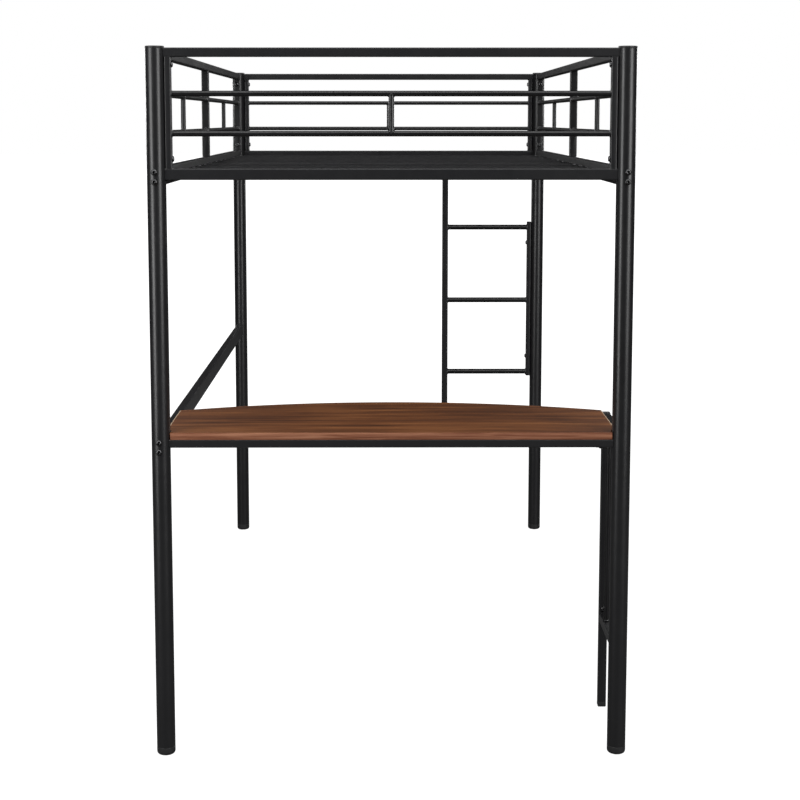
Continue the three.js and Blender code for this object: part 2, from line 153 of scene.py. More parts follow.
def rectangle(width, height, corner=TUBE_CORNER, steps=5, parts=1):
    """A rounded rectangular section: a function of how far it is inset. Each flat side is
    divided into `parts`, so that a curved end can follow a post."""

    def section(inset):
        radius = max(corner - inset, 0.05)
        reach_u, reach_v = width / 2 - inset - radius, height / 2 - inset - radius
        points = []
        for turn, (su, sv) in enumerate(((1, 1), (-1, 1), (-1, -1), (1, -1))):
            for i in range(steps + 1):
                angle = math.pi / 2 * (turn + i / steps)
                u = su * reach_u + radius * math.cos(angle)
                points.append((u, sv * reach_v + radius * math.sin(angle)))
        divided = []
        for i, (u, v) in enumerate(points):
            divided.append((u, v))
            if i % (steps + 1) == steps:
                next_u, next_v = points[(i + 1) % len(points)]
                for share in (part / parts for part in range(1, parts)):
                    divided.append((u + (next_u - u) * share, v + (next_v - v) * share))
        return divided

    return section


def disc(radius, sides=32):
    """A round section: a function of how far it is inset."""

    def section(inset):
        angles = [math.tau * i / sides for i in range(sides)]
        return [((radius - inset) * math.cos(a), (radius - inset) * math.sin(a)) for a in angles]

    return section


def extrusion(axis, section, centre, ends, wall=None, chamfer=0.35):
    """A bar along an axis, or a tube if it has a wall. An end is a coordinate, or a function
    of the section point's first coordinate."""

    def ring(inset, end, inward):
        points = []
        for du, dv in section(inset):
            u, v = centre[0] + du, centre[1] + dv
            points.append(on_axis(axis, u, v, (end(u) if callable(end) else end) + inward))
        return points

    start, stop = ends
    rings = [
        ring(chamfer, start, 0),
        ring(0, start, chamfer),
        ring(0, stop, -chamfer),
        ring(chamfer, stop, 0),
    ]
    if wall:
        rings += [ring(wall, stop, 0), ring(wall, start, 0)]
    return loft(rings, wrap=bool(wall))


def box_tube(axis, low, high, ends=None, wall=TUBE_WALL, corner=TUBE_CORNER):
    """A rectangular tube that fills a box, with other ends if they are given."""
    along = "xyz".index(axis)
    across = [i for i in range(3) if i != along]
    sizes = [high[i] - low[i] for i in across]
    section = rectangle(*sizes, corner, parts=CURVED_END_PARTS if ends else 1)
    centre = [(low[i] + high[i]) / 2 for i in across]
    return extrusion(axis, section, centre, ends or (low[along], high[along]), wall)


def cope(post_across, post_along, way):
    """A rail's end cut to the roundness of a post. `way` points from the post along the rail."""
    reach = POST_RADIUS + SEAT_GAP
    return lambda u: post_along + way * math.sqrt(reach**2 - (u - post_across) ** 2)


def coped_ends(across_post, at_post):
    """Both ends of a rail from post to post."""
    return cope(across_post, -at_post, 1), cope(across_post, at_post, -1)


def turned(axis, centre, profile, sides=48):
    """A turned body between two flat ends, from (radius, distance along the axis) points."""
    rings = []
    for radius, t in profile:
        section = disc(radius, sides)(0)
        rings.append([on_axis(axis, centre[0] + u, centre[1] + v, t) for u, v in section])
    return loft(rings)


def arc(radius, centre, start, stop, steps=6):
    """(radius, height) points of a rounding, from one angle to another in degrees."""
    angles = [math.radians(start + (stop - start) * i / steps) for i in range(steps + 1)]
    return [(centre[0] + radius * math.cos(a), centre[1] + radius * math.sin(a)) for a in angles]


def hexagon_reach(apothem, angle):
    """Distance from a hexagon's middle to its edge at an angle."""
    return apothem / math.cos((angle + math.pi / 6) % (math.pi / 3) - math.pi / 6)


def bolt(axis, seat, way, at, length, head=(7.0, HEAD_HEIGHT), shank=3.7, sides=30):
    """A button-head bolt with a hexagon socket and a thread. Its head rests on `seat`, and
    its shank goes from there in the direction `way`."""
    radius, height = head
    socket = radius * 0.3
    profile = [(socket * 0.1, height * 0.42, True), (socket, height * 0.42, True)]
    profile += [(socket, height * 0.93, True), (socket * 1.38, height, False)]
    for share, level in ((0.6, 0.97), (0.78, 0.82), (0.92, 0.55), (0.985, 0.28), (1, 0.12)):
        profile.append((radius * share, height * level, False))
    profile += [(radius * 0.97, 0, False), (shank, 0, False)]
    pitch, thread = 1.25, min(14.0, length - 2)
    start = length - thread
    for i in range(int(thread / pitch)):
        profile.append((shank, -(start + i * pitch), False))
        profile.append((shank * 0.86, -(start + (i + 0.5) * pitch), False))
    profile.append((shank * 0.8, -length, False))
    angles = [math.tau * i / sides for i in range(sides)]
    rings = []
    for size, outward, six_sided in profile:
        ring = []
        for a in angles:
            reach = hexagon_reach(size, a) if six_sided else size
            u, v = at[0] + reach * math.cos(a), at[1] + reach * math.sin(a)
            ring.append(on_axis(axis, u, v, seat - way * outward))
        rings.append(ring)
    return loft(rings)


def bead(path, normal, radius=1.7, closed=True):
    """A weld bead along a path, slightly rippled. An open bead tapers off at its ends."""
    count, sides = len(path), 8
    normal = Vector(normal)
    rings = []
    for i, point in enumerate(path):
        if closed:
            along = path[(i + 1) % count] - path[i - 1]
        else:
            along = path[min(i + 1, count - 1)] - path[max(i - 1, 0)]
        side = along.cross(normal).normalized()
        up = side.cross(along).normalized()
        swell = radius * (1 + 0.09 * math.sin(2.4 * i) + weld_noise.uniform(-0.07, 0.07))
        if not closed:
            swell *= math.sqrt(max(0.12, 1 - (2 * i / (count - 1) - 1) ** 4))
        turns = [math.tau * j / sides for j in range(sides)]
        rings.append([point + (side * math.cos(a) + up * math.sin(a)) * swell for a in turns])
    return loft(rings, wrap=closed)


def collar(axis, centre, t, radius):
    """The weld round a bar where it meets a flat face."""
    section = disc(radius + 0.3, 36)(0)
    path = [on_axis(axis, centre[0] + u, centre[1] + v, t) for u, v in section]
    return bead(path, on_axis(axis, 0, 0, 1), radius=1.9)


def saddle(bar_axis, centre, height, way):
    """The weld round an upright where it meets a bar of its own thickness."""
    path = []
    for i in range(40):
        angle = math.tau * i / 40
        u, v = math.cos(angle), math.sin(angle)
        rise = math.sqrt((u if bar_axis == "x" else v) ** 2 + 0.02)
        path.append(
            Vector(
                (
                    centre[0] + (BAR_RADIUS + 0.2) * u,
                    centre[1] + (BAR_RADIUS + 0.2) * v,
                    height + way * BAR_RADIUS * rise,
                )
            )
        )
    return bead(path, (0, 0, 1), radius=1.5)


def seam(start, stop, normal, steps=12):
    """The weld along a straight inner corner, between two points."""
    start, stop = Vector(start), Vector(stop)
    path = [start.lerp(stop, i / steps) for i in range(steps + 1)]
    return bead(path, normal, radius=1.8, closed=False)


# ---------- Materials ----------


def new_material(name, **inputs):
    """A material with its shader's own values set, its node tree and its shader."""
    material = bpy.data.materials.new(name)
    material.use_nodes = True
    shader = material.node_tree.nodes["Principled BSDF"]
    for key, value in inputs.items():
        shader.inputs[key.replace("_", " ")].default_value = value
    return material, material.node_tree, shader


def add_node(tree, kind, sockets=None, **settings):
    """A new node, with its settings and its sockets' values or links."""
    made = tree.nodes.new(kind)
    for key, value in settings.items():
        setattr(made, key, value)
    for key, value in (sockets or {}).items():
        if isinstance(value, bpy.types.NodeSocket):
            tree.links.new(value, made.inputs[key])
        else:
            made.inputs[key].default_value = value
    return made


def place_scaled(tree, scale):
    """The point on the object, stretched by a scale along each axis."""
    place = add_node(tree, "ShaderNodeTexCoord").outputs["Object"]
    sockets = {"Vector": place, "Scale": scale}
    return add_node(tree, "ShaderNodeMapping", sockets).outputs["Vector"]


def noise(tree, scale, detail=3.0, roughness=0.55, distortion=0.0):
    """A noise value over the object; scale is its frequency per metre along each axis."""
    scale = scale if isinstance(scale, tuple) else (scale,) * 3
    sockets = {
        "Vector": place_scaled(tree, scale),
        "Scale": 1.0,
        "Detail": detail,
        "Roughness": roughness,
        "Distortion": distortion,
    }
    return add_node(tree, "ShaderNodeTexNoise", sockets).outputs["Fac"]


def mixed(tree, first, second, share):
    """A blend of two values."""
    sockets = {0: share, 2: first, 3: second}
    return add_node(tree, "ShaderNodeMix", sockets).outputs[0]


def ramp(tree, value, stops):
    """A colour ramp over a value, from (position, colour) stops."""
    made = add_node(tree, "ShaderNodeValToRGB", {"Fac": value})
    elements = made.color_ramp.elements
    while len(elements) < len(stops):
        elements.new(0.5)
    for element, (position, colour) in zip(elements, stops):
        element.position = position
        element.color = (*colour, 1)
    return made.outputs["Color"]


def between(tree, value, low, high, source=(0.3, 0.7)):
    """A value mapped into a range."""
    sockets = {1: source[0], 2: source[1], 3: low, 4: high, 0: value}
    return add_node(tree, "ShaderNodeMapRange", sockets).outputs[0]


def bump(tree, shader, layers):
    """Fine relief from (value, depth in millimetres, strength) layers."""
    normal = None
    for value, depth, strength in layers:
        sockets = {"Height": value, "Distance": depth * MM, "Strength": strength}
        if normal:
            sockets["Normal"] = normal
        normal = add_node(tree, "ShaderNodeBump", sockets).outputs["Normal"]
    tree.links.new(normal, shader.inputs["Normal"])


def edge_share(tree, low=0.51, high=0.58):
    """How much a point is on an outer edge, from 0 to 1."""
    value = add_node(tree, "ShaderNodeNewGeometry").outputs["Pointiness"]
    return between(tree, value, 0.0, 1.0, (low, high))


def colour_mix(tree, share, first, second):
    """A blend of two colours."""
    made = add_node(tree, "ShaderNodeMix", data_type="RGBA")
    for key, value in ((0, share), (6, first), (7, second)):
        if isinstance(value, bpy.types.NodeSocket):
            tree.links.new(value, made.inputs[key])
        else:
            made.inputs[key].default_value = value if key == 0 else (*value, 1)
    return made.outputs[2]


def powder_coat():
    """Satin black powder coat on steel: fine grain, faint orange peel, drifting gloss, and a
    painted sheen on its outer edges.
    """
    material, tree, shader = new_material("black_powder_coat", Specular_IOR_Level=0.5)
    cloud, grain = noise(tree, 7.0, 4), noise(tree, 900.0, 3)
    tone = mixed(tree, cloud, grain, 0.35)
    stops = [(0.32, (0.0028, 0.0028, 0.0031)), (0.68, (0.0062, 0.0062, 0.0068))]
    base = ramp(tree, tone, stops)
    # Lighter outer edges: a painted sheen that gives the thin coat on the edges a glossier look.
    edge_wear_and_sheen = colour_mix(tree, edge_share(tree), base, (0.012, 0.012, 0.013))
    tree.links.new(edge_wear_and_sheen, shader.inputs["Base Color"])
    gloss = mixed(tree, noise(tree, 45.0, 4), cloud, 0.5)
    tree.links.new(between(tree, gloss, 0.27, 0.36), shader.inputs["Roughness"])
    bump(tree, shader, [(noise(tree, 260.0, 2), 0.12, 0.35), (grain, 0.05, 0.4)])
    return material


def bolt_steel():
    """Dark plated bolt steel, brighter on its edges."""
    material, tree, shader = new_material("dark_bolt_steel", Metallic=1.0)
    tone = mixed(tree, noise(tree, 300.0, 3), noise(tree, 1500.0, 2), 0.5)
    base = ramp(tree, tone, [(0.35, (0.03, 0.03, 0.032)), (0.65, (0.07, 0.07, 0.073))])
    edge_wear_and_sheen = colour_mix(tree, edge_share(tree, 0.52, 0.62), base, (0.2, 0.2, 0.2))
    tree.links.new(edge_wear_and_sheen, shader.inputs["Base Color"])
    tree.links.new(between(tree, tone, 0.2, 0.3), shader.inputs["Roughness"])
    bump(tree, shader, [(noise(tree, 1200.0, 2), 0.03, 0.5)])
    return material


def moulded_plastic():
    """Black moulded plastic with a fine spark-eroded grain."""
    material, tree, shader = new_material("black_moulded_plastic", Specular_IOR_Level=0.45)
    grain, cloud = noise(tree, 1400.0, 2), noise(tree, 30.0, 3)
    tone = mixed(tree, grain, cloud, 0.5)
    base = ramp(tree, tone, [(0.35, (0.010, 0.010, 0.0105)), (0.65, (0.020, 0.020, 0.021))])
    tree.links.new(base, shader.inputs["Base Color"])
    tree.links.new(between(tree, cloud, 0.46, 0.58), shader.inputs["Roughness"])
    bump(tree, shader, [(grain, 0.05, 0.5)])
    return material


WALNUT = [
    (0.38, (0.036, 0.011, 0.0035)),
    (0.45, (0.077, 0.025, 0.0075)),
    (0.52, (0.120, 0.041, 0.0125)),
    (0.61, (0.196, 0.076, 0.0250)),
]
WALNUT_EDGE = [
    (0.38, (0.104, 0.037, 0.020)),
    (0.49, (0.186, 0.072, 0.040)),
    (0.60, (0.304, 0.139, 0.081)),
]
# The pale walnut of the board's end bands is a painted highlight along their top arris.
PAINTED_HIGHLIGHT_EDGE = [(0.35, (0.30, 0.21, 0.14)), (0.65, (0.48, 0.35, 0.24))]


def wood(name, stops, streak_scale, roughness):
    """Printed walnut: long streaks along X, finer fibres, slow drifts of tone and pores."""
    material, tree, shader = new_material(name, Specular_IOR_Level=0.12)
    streaks = noise(tree, (3.4, streak_scale, streak_scale), 5, 0.66, 0.35)
    fibres = noise(tree, (5.0, 210.0, 210.0), 3, 0.6)
    drift = noise(tree, (1.3, 7.0, 7.0), 2)
    tone = mixed(tree, mixed(tree, streaks, fibres, 0.25), drift, 0.22)
    base = ramp(tree, tone, stops)
    pores = between(tree, noise(tree, (14.0, 900.0, 900.0), 2), 0.0, 0.5, (0.6, 0.75))
    dark = tuple(channel * 0.5 for channel in stops[0][1])
    tree.links.new(colour_mix(tree, pores, base, dark), shader.inputs["Base Color"])
    tree.links.new(between(tree, tone, *roughness), shader.inputs["Roughness"])
    bump(tree, shader, [(pores, -0.05, 0.5), (fibres, 0.03, 0.3)])
    return material


COAT = powder_coat()
BOLT = bolt_steel()
PLASTIC = moulded_plastic()
BOARD = wood("walnut_laminate", WALNUT, 44.0, (0.58, 0.48))
BOARD_EDGE = wood("walnut_edge_band", WALNUT_EDGE, 95.0, (0.52, 0.44))
# Walnut for the end bands, made pale as a painted arris highlight.
HIGHLIGHT_PAINTED_BAND = wood("painted_highlight_edge_band", PAINTED_HIGHLIGHT_EDGE, 60.0, (0.5, 0.42))


# ---------- Pieces ----------


def mesh_object(name, skin):
    """An object from one closed skin, with its faces turned outward."""
    points, faces = skin
    mesh = bpy.data.meshes.new(name)
    mesh.from_pydata([point * MM for point in points], [], faces)
    mesh.update()
    obj = bpy.data.objects.new(name, mesh)
    bpy.context.scene.collection.objects.link(obj)
    volume = sum(
        mesh.vertices[f.vertices[0]].co.dot(
            (mesh.vertices[f.vertices[i]].co - mesh.vertices[f.vertices[0]].co).cross(
                mesh.vertices[f.vertices[i + 1]].co - mesh.vertices[f.vertices[0]].co
            )
        )
        for f in mesh.polygons
        for i in range(1, len(f.vertices) - 1)
    )
    if volume < 0:
        mesh.flip_normals()
    return obj


def combined(obj, skins, operation):
    """The object's mesh joined with, or cut by, other closed skins."""
    if not skins:
        return
    tools = bpy.data.collections.new("tools")
    bpy.context.scene.collection.children.link(tools)
    for i, skin in enumerate(skins):
        tool = mesh_object(f"tool_{i}", skin)
        bpy.context.scene.collection.objects.unlink(tool)
        tools.objects.link(tool)
    modifier = obj.modifiers.new(operation, "BOOLEAN")
    modifier.operation = operation
    modifier.solver = "MANIFOLD"
    modifier.operand_type = "COLLECTION"
    modifier.collection = tools
    graph = bpy.context.evaluated_depsgraph_get()
    obj.data = bpy.data.meshes.new_from_object(obj.evaluated_get(graph))
    obj.modifiers.clear()
    for tool in list(tools.objects):
        bpy.data.objects.remove(tool)
    bpy.data.collections.remove(tools)


def finish(obj, material, slot, nodes=()):
    """Shading, material and place in the table for one piece."""
    mesh = obj.data
    mesh.materials.clear()
    mesh.materials.append(material)
    mesh.shade_smooth()
    mesh.set_sharp_from_angle(angle=math.radians(SHARP_ANGLE))
    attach(obj, "root")
    if nodes:
        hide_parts(*nodes)
    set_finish(obj, slot)
    return obj


def piece(name, skins, material, slot, nodes=(), cuts=()):
    """One piece of the bed from closed skins, welded into one, less the cuts."""
    obj = mesh_object(name, skins[0])
    combined(obj, skins[1:], "UNION")
    combined(obj, list(cuts), "DIFFERENCE")
    return finish(obj, material, slot, nodes)


def steel(node, skins, cuts=()):
    return piece(f"{node}_coated", skins, COAT, "frame_steel", [node], cuts)


def plug(node, skins):
    return piece(f"{node}_moulded", skins, PLASTIC, "plastic_plugs", [node])


def hole(axis, at, start, stop, radius=4.1):
    """A round cutter for a bolt hole."""
    return extrusion(axis, disc(radius, 24), at, (start, stop), chamfer=0.01)


# ---------- Bolts ----------


def cad_bolt(node, axis, way):
    """The detailed bolt for a CAD bolt whose shank goes in the direction `way`."""
    low, high = cad_box(node)
    along = "xyz".index(axis)
    at = [(low[i] + high[i]) / 2 for i in range(3) if i != along]
    head_end = low[along] if way > 0 else high[along]
    length = high[along] - low[along] - HEAD_HEIGHT
    skin = bolt(axis, head_end + way * HEAD_HEIGHT, way, at, length)
    piece(f"{node}_socket_head", [skin], BOLT, "bolt_steel", [node])
    return at


post_holes = {}
for node in sorted(frame["nodes"]):
    if node.startswith(("deck_bolt_", "desk_bolt_")):
        end, side = node.split("_")[2:4]
        at = cad_bolt(node, "y", -ENDS[end])
        centre = ENDS[end] * POST_Y
        reach = POST_RADIUS + 5
        post_holes.setdefault((end, side), []).append(
            hole("y", at, centre - reach, centre + reach)
        )
for level in ("lower", "upper"):
    at = cad_bolt(f"ladder_bolt_{level}", "x", 1)
    post_holes.setdefault(("far", "right"), []).append(
        hole("x", at, POST_X - POST_RADIUS - 5, POST_X)
    )
leg_bolt_at = cad_bolt("desk_leg_bolt", "x", -1)

for end, end_sign in ENDS.items():
    for side, side_sign in SIDES.items():
        for level, z in FRAME_BOLT_HEIGHTS.items():
            place = f"{end}_{side}_{level}"
            seat = side_sign * (BETWEEN_X - SIDE_TUBE_WIDTH)
            skin = bolt("x", seat, side_sign, (end_sign * POST_Y, z), SIDE_TUBE_WIDTH + BOLT_REACH)
            piece(f"end_frame_bolt_{place}", [skin], BOLT, "bolt_steel")
            seat = end_sign * (BETWEEN_Y - RAIL)
            skin = bolt("y", seat, end_sign, (side_sign * SIDE_LINE_X, z), RAIL + BOLT_REACH)
            piece(f"side_guard_bolt_{place}", [skin], BOLT, "bolt_steel")


# ---------- Posts, feet and caps ----------


for end, end_sign in ENDS.items():
    for side, side_sign in SIDES.items():
        centre = (side_sign * POST_X, end_sign * POST_Y)
        node = f"post_{end}_{side}"
        low, high = cad_box(node)
        section = disc(POST_RADIUS, 96)
        skin = extrusion("z", section, centre, (low.z, high.z), POST_WALL, chamfer=0.45)
        cuts = list(post_holes[(end, side)])
        for z in FRAME_BOLT_HEIGHTS.values():
            inner = centre[0] - side_sign * (POST_RADIUS + 4)
            cuts.append(hole("x", (centre[1], z), *sorted((inner, centre[0]))))
            inner = centre[1] - end_sign * (POST_RADIUS + 4)
            cuts.append(hole("y", (side_sign * SIDE_LINE_X, z), *sorted((inner, centre[1]))))
        steel(node, [skin], cuts)

        node = f"post_foot_{end}_{side}"
        low, high = cad_box(node)
        seat, stem = cad_box(f"post_{end}_{side}")[0].z - SEAT_GAP, POST_RADIUS - 1.5
        profile = [(POST_RADIUS - 9, 0.0), (POST_RADIUS - 7, 0.0)]
        profile += arc(7.0, (POST_RADIUS - 7, 7.0), -78, 0, 8)
        profile += [(POST_RADIUS, seat - 0.5), (POST_RADIUS - 0.5, seat), (stem, seat)]
        profile += [(stem, high.z - 1.5), (stem - 1.5, high.z)]
        plug(node, [turned("z", centre, profile, 72)])

        node = f"post_cap_{end}_{side}"
        low, high = cad_box(node)
        seat = cad_box(f"post_{end}_{side}")[1].z + SEAT_GAP
        profile = [(stem - 1.5, low.z), (stem, low.z + 1.5), (stem, seat)]
        profile += [(POST_RADIUS - 0.5, seat), (POST_RADIUS, seat + 0.5)]
        profile += arc(1.8, (POST_RADIUS - 1.8, high.z - 2.05), 0, 82)
        profile += [(POST_RADIUS - 8, high.z - 0.05), (3.2, high.z), (2.6, high.z - 0.35)]
        profile += [(0.3, high.z - 0.4)]
        plug(node, [turned("z", centre, profile, 72)])


# ---------- End frames ----------


for end, sign in ENDS.items():
    node = f"end_frame_{end}"
    low, high = cad_box(node)
    y = sign * POST_Y
    ends = coped_ends(y, POST_X)
    top, bottom = high.z - RAIL, low.z + END_RAIL_HEIGHT
    skins = [
        box_tube("x", Vector((0, low.y, top)), Vector((0, high.y, high.z)), ends),
        box_tube("x", Vector((0, low.y, low.z)), Vector((0, high.y, bottom)), ends),
    ]
    inner = BETWEEN_X - SIDE_TUBE_WIDTH
    for side in SIDES.values():
        x = side * (BETWEEN_X - SIDE_TUBE_WIDTH / 2)
        section = rectangle(SIDE_TUBE_WIDTH, RAIL)
        skins.append(
            extrusion("z", section, (x, y), (bottom - WELD_DEPTH, top + WELD_DEPTH))
        )
        for z, way in ((top, -1), (bottom, 1)):
            corner = Vector((side * inner, y, z))
            offset = Vector((0, RAIL / 2 - 1, 0))
            skins.append(seam(corner - offset, corner + offset, (0, 0, way)))
        for z in BAR_HEIGHTS:
            skins.append(collar("x", (y, z), side * inner, BAR_RADIUS))
    for z in BAR_HEIGHTS:
        bar_ends = (-inner - WELD_DEPTH, inner + WELD_DEPTH)
        skins.append(extrusion("x", disc(BAR_RADIUS), (y, z), bar_ends))
    upper, lower = BAR_HEIGHTS
    skins.append(extrusion("z", disc(BAR_RADIUS), (0, y), (lower, upper)))
    skins += [saddle("x", (0, y), upper, -1), saddle("x", (0, y), lower, 1)]
    steel(node, skins)


# ---------- Side guards ----------


for side, sign in SIDES.items():
    node = f"side_guard_{side}"
    low, high = cad_box(node)
    x = (low.x + high.x) / 2
    ends = coped_ends(sign * POST_X, POST_Y)
    top = high.z - RAIL
    skins = [box_tube("y", Vector((low.x, 0, top)), Vector((high.x, 0, high.z)), ends)]
    tube_faces = []
    inner = BETWEEN_Y - RAIL
    for y, faces in ((-inner - RAIL / 2, (1,)), (0, (-1, 1)), (inner + RAIL / 2, (-1,))):
        section = rectangle(RAIL, RAIL)
        skins.append(extrusion("z", section, (x, y), (low.z, top + WELD_DEPTH)))
        tube_faces += [y + way * RAIL / 2 for way in faces]
    for y in tube_faces:
        corner = Vector((x, y, top))
        offset = Vector((RAIL / 2 - 1, 0, 0))
        skins.append(seam(corner - offset, corner + offset, (0, 0, 1)))
        skins += [collar("y", (x, z), y, BAR_RADIUS) for z in BAR_HEIGHTS]
    for z in BAR_HEIGHTS:
        bar_ends = (-inner - WELD_DEPTH, inner + WELD_DEPTH)
        skins.append(extrusion("y", disc(BAR_RADIUS), (x, z), bar_ends))
    upper, lower = BAR_HEIGHTS
    for y in (-UPRIGHT_Y, UPRIGHT_Y):
        skins.append(extrusion("z", disc(BAR_RADIUS), (x, y), (lower, upper)))
        skins += [saddle("y", (x, y), upper, -1), saddle("y", (x, y), lower, 1)]
    steel(node, skins)


# ---------- Long rails with bolted ends ----------


def long_rail(node, side, ledge_top=None):
    """A rail from post to post along the bed, with a drilled plate inside each end. A deck
    rail has a ledge along its inner face too, welded on from below in short stitches."""
    low, high = cad_box(node)
    x = side * SIDE_LINE_X
    box = Vector((x - RAIL / 2, low.y, low.z)), Vector((x + RAIL / 2, high.y, high.z))
    plate = rectangle(RAIL - 1, high.z - low.z - 1, 1.8)
    middle = (low.z + high.z) / 2
    skins = [box_tube("y", *box, coped_ends(side * POST_X, POST_Y))]
    cuts = []
    for sign in ENDS.values():
        outer = sign * (BETWEEN_Y - 5)
        span = sorted((outer, outer - sign * 3))
        skins.append(extrusion("y", plate, (x, middle), span, chamfer=0.2))
        for z in (middle - BOLT_PITCH / 2, middle + BOLT_PITCH / 2):
            cuts.append(hole("y", (x, z), span[0] - 2, span[1] + 2))
    if ledge_top:
        inner = x - side * RAIL / 2
        strip = rectangle(LEDGE_WIDTH, LEDGE_THICKNESS, 0.8)
        centre = (inner - side * (LEDGE_WIDTH / 2 - 0.5), ledge_top - LEDGE_THICKNESS / 2)
        skins.append(extrusion("y", strip, centre, (-LEDGE_HALF_LENGTH, LEDGE_HALF_LENGTH)))
        under = ledge_top - LEDGE_THICKNESS
        for i in range(10):
            y = LEDGE_HALF_LENGTH * (2 * i / 9 - 1) * 0.97
            start, stop = Vector((inner, y - 18, under)), Vector((inner, y + 18, under))
            skins.append(seam(start, stop, (0, 0, 1), 18))
    steel(node, skins, cuts)


slats = sorted(node for node in frame["nodes"] if node.startswith("deck_slat_"))
slat_seat = cad_box(slats[0])[0].z - SEAT_GAP
long_rail("deck_side_rail_left", -1, slat_seat)
long_rail("deck_side_rail_right", 1, slat_seat)
long_rail("desk_side_rail_left", -1)


# ---------- Slats ----------


def linked_copy(source, name, offset):
    """Another object with the same mesh, shifted in millimetres."""
    obj = bpy.data.objects.new(name, source.data)
    bpy.context.scene.collection.objects.link(obj)
    obj.location = Vector(offset) * MM
    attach(obj, "root")
    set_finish(obj, source["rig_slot"])
    return obj


for node in slats:
    low, high = cad_box(node)
    steel(node, [box_tube("x", low, high, wall=SLAT_WALL, corner=SLAT_CORNER)])
    number = node.rsplit("_", 1)[1]
    place = (low.y + high.y) / 2
    if node == slats[0]:
        first_place, screws = place, {}
        for side, sign in SIDES.items():
            at = (sign * SCREW_X, place)
            skin = bolt("z", high.z, -1, at, SCREW_LENGTH, SCREW_HEAD, SCREW_SHANK, 24)
            name = f"deck_slat_screw_{number}_{side}"
            screws[side] = piece(name, [skin], BOLT, "bolt_steel")
        continue
    for side, screw in screws.items():
        linked_copy(screw, f"deck_slat_screw_{number}_{side}", (0, place - first_place, 0))


# ---------- Desk ----------


def inset_outline(points, distance):
    """A closed outline, counter-clockwise, moved inward."""
    count = len(points)
    moved = []
    for i, (x, y) in enumerate(points):
        before = Vector((x - points[i - 1][0], y - points[i - 1][1])).normalized()
        after = Vector((points[(i + 1) % count][0] - x, points[(i + 1) % count][1] - y))
        after.normalize()
        normal = Vector((-before.y - after.y, before.x + after.x)).normalized()
        scale = distance / max(0.3, normal.dot(Vector((-before.y, before.x))))
        moved.append((x + normal.x * scale, y + normal.y * scale))
    return moved


def arc_edge(half_width, end_y, back_y, steps=48):
    """Points of the board's curved back edge from right to left, with outward normals."""
    rise = back_y - end_y
    radius = (half_width**2 + rise**2) / (2 * rise)
    start = math.asin(half_width / radius)
    edge = []
    for i in range(steps + 1):
        angle = start * (1 - 2 * i / steps)
        normal = Vector((math.sin(angle), math.cos(angle), 0))
        edge.append((Vector((0, back_y - radius, 0)) + normal * radius, normal))
    return edge


def edge_band(name, edge, low_z, high_z, material, thickness=BAND):
    """A thin band glued along an edge, from (point, outward normal) pairs."""
    section = rectangle(thickness, high_z - low_z, 0.25, 3)(0)
    rings = []
    for point, normal in edge:
        middle = point - normal * thickness / 2
        rings.append(
            [middle + normal * u + Vector((0, 0, (low_z + high_z) / 2 + v)) for u, v in section]
        )
    return piece(name, [loft(rings)], material, "desk_board")


def make_board():
    low, high = cad_box("desk_board")
    notch_x = POST_X - POST_RADIUS - BOARD_NOTCH
    notch_y = -POST_Y + POST_RADIUS + BOARD_NOTCH
    end_y, back_y = BOARD_END_Y, high.y
    back = arc_edge(high.x - END_BAND, end_y, back_y - BAND)
    outline = [(-notch_x, low.y + BAND), (notch_x, low.y + BAND), (notch_x, notch_y)]
    outline += [(high.x - END_BAND, notch_y)]
    outline += [(point.x, point.y) for point, _ in back]
    outline += [(low.x + END_BAND, notch_y), (-notch_x, notch_y)]
    rings = []
    for inset, z in ((0.3, low.z), (0, low.z + 0.3), (0, high.z - 0.3), (0.3, high.z)):
        rings.append([Vector((x, y, z)) for x, y in inset_outline(outline, inset)])
    piece("desk_board_laminated", [loft(rings)], BOARD, "desk_board", ["desk_board"])

    front = [(Vector((x, low.y, 0)), Vector((0, -1, 0))) for x in (-notch_x, notch_x)]
    edge_band("desk_board_front_band", front, low.z, high.z, BOARD_EDGE)
    edge = arc_edge(high.x, end_y, back_y)
    edge_band("desk_board_back_band", edge, low.z, high.z, BOARD_EDGE)
    # The end bands carry the pale walnut, a painted highlight along their top arris.
    for side, sign in SIDES.items():
        normal = Vector((sign, 0, 0))
        edge = [(Vector((sign * high.x, y, 0)), normal) for y in (notch_y, end_y)]
        name = f"desk_board_{side}_band"
        edge_band(name, edge, low.z, high.z, HIGHLIGHT_PAINTED_BAND, END_BAND)


make_board()

low, high = cad_box("desk_front_rail")
steel("desk_front_rail", [box_tube("x", low, high, coped_ends(-POST_Y, POST_X))])
steel("desk_rear_rail", [box_tube("x", *cad_box("desk_rear_rail"))])

for node in ("desk_short_rail_upper", "desk_short_rail_lower"):
    low, high = cad_box(node)
    steel(node, [box_tube("y", low, high, (cope(POST_X, -POST_Y, 1), high.y))])

low, high = cad_box("desk_short_bar")
bar_centre = ((low.x + high.x) / 2, (low.y + high.y) / 2)
skins = [extrusion("z", disc(BAR_RADIUS), bar_centre, (low.z, high.z))]
collar_heights = (low.z + COLLAR_INSET, high.z - COLLAR_INSET)
skins += [collar("z", bar_centre, z, BAR_RADIUS) for z in collar_heights]
steel("desk_short_bar", skins)

low, high = cad_box("desk_leg")
leg_centre = ((low.x + high.x) / 2, (low.y + high.y) / 2)
front_bolt_at = (leg_centre[0], LEG_FRONT_BOLT_Z)
leg_holes = [
    hole("x", leg_bolt_at, low.x - 3, high.x + 3),
    hole("y", front_bolt_at, low.y - 3, leg_centre[1]),
]
steel("desk_leg", [box_tube("z", low, high)], leg_holes)
skin = bolt("y", low.y - SEAT_GAP, 1, front_bolt_at, LEG_FRONT_BOLT_LENGTH)
piece("desk_leg_front_bolt", [skin], BOLT, "bolt_steel")
leg_bottom, leg_top, leg_inner_x = low.z, high.z, low.x

LEG_SECTION = rectangle(RAIL, RAIL)
STEM_SECTION = rectangle(RAIL - 2.8, RAIL - 2.8, 1.4)


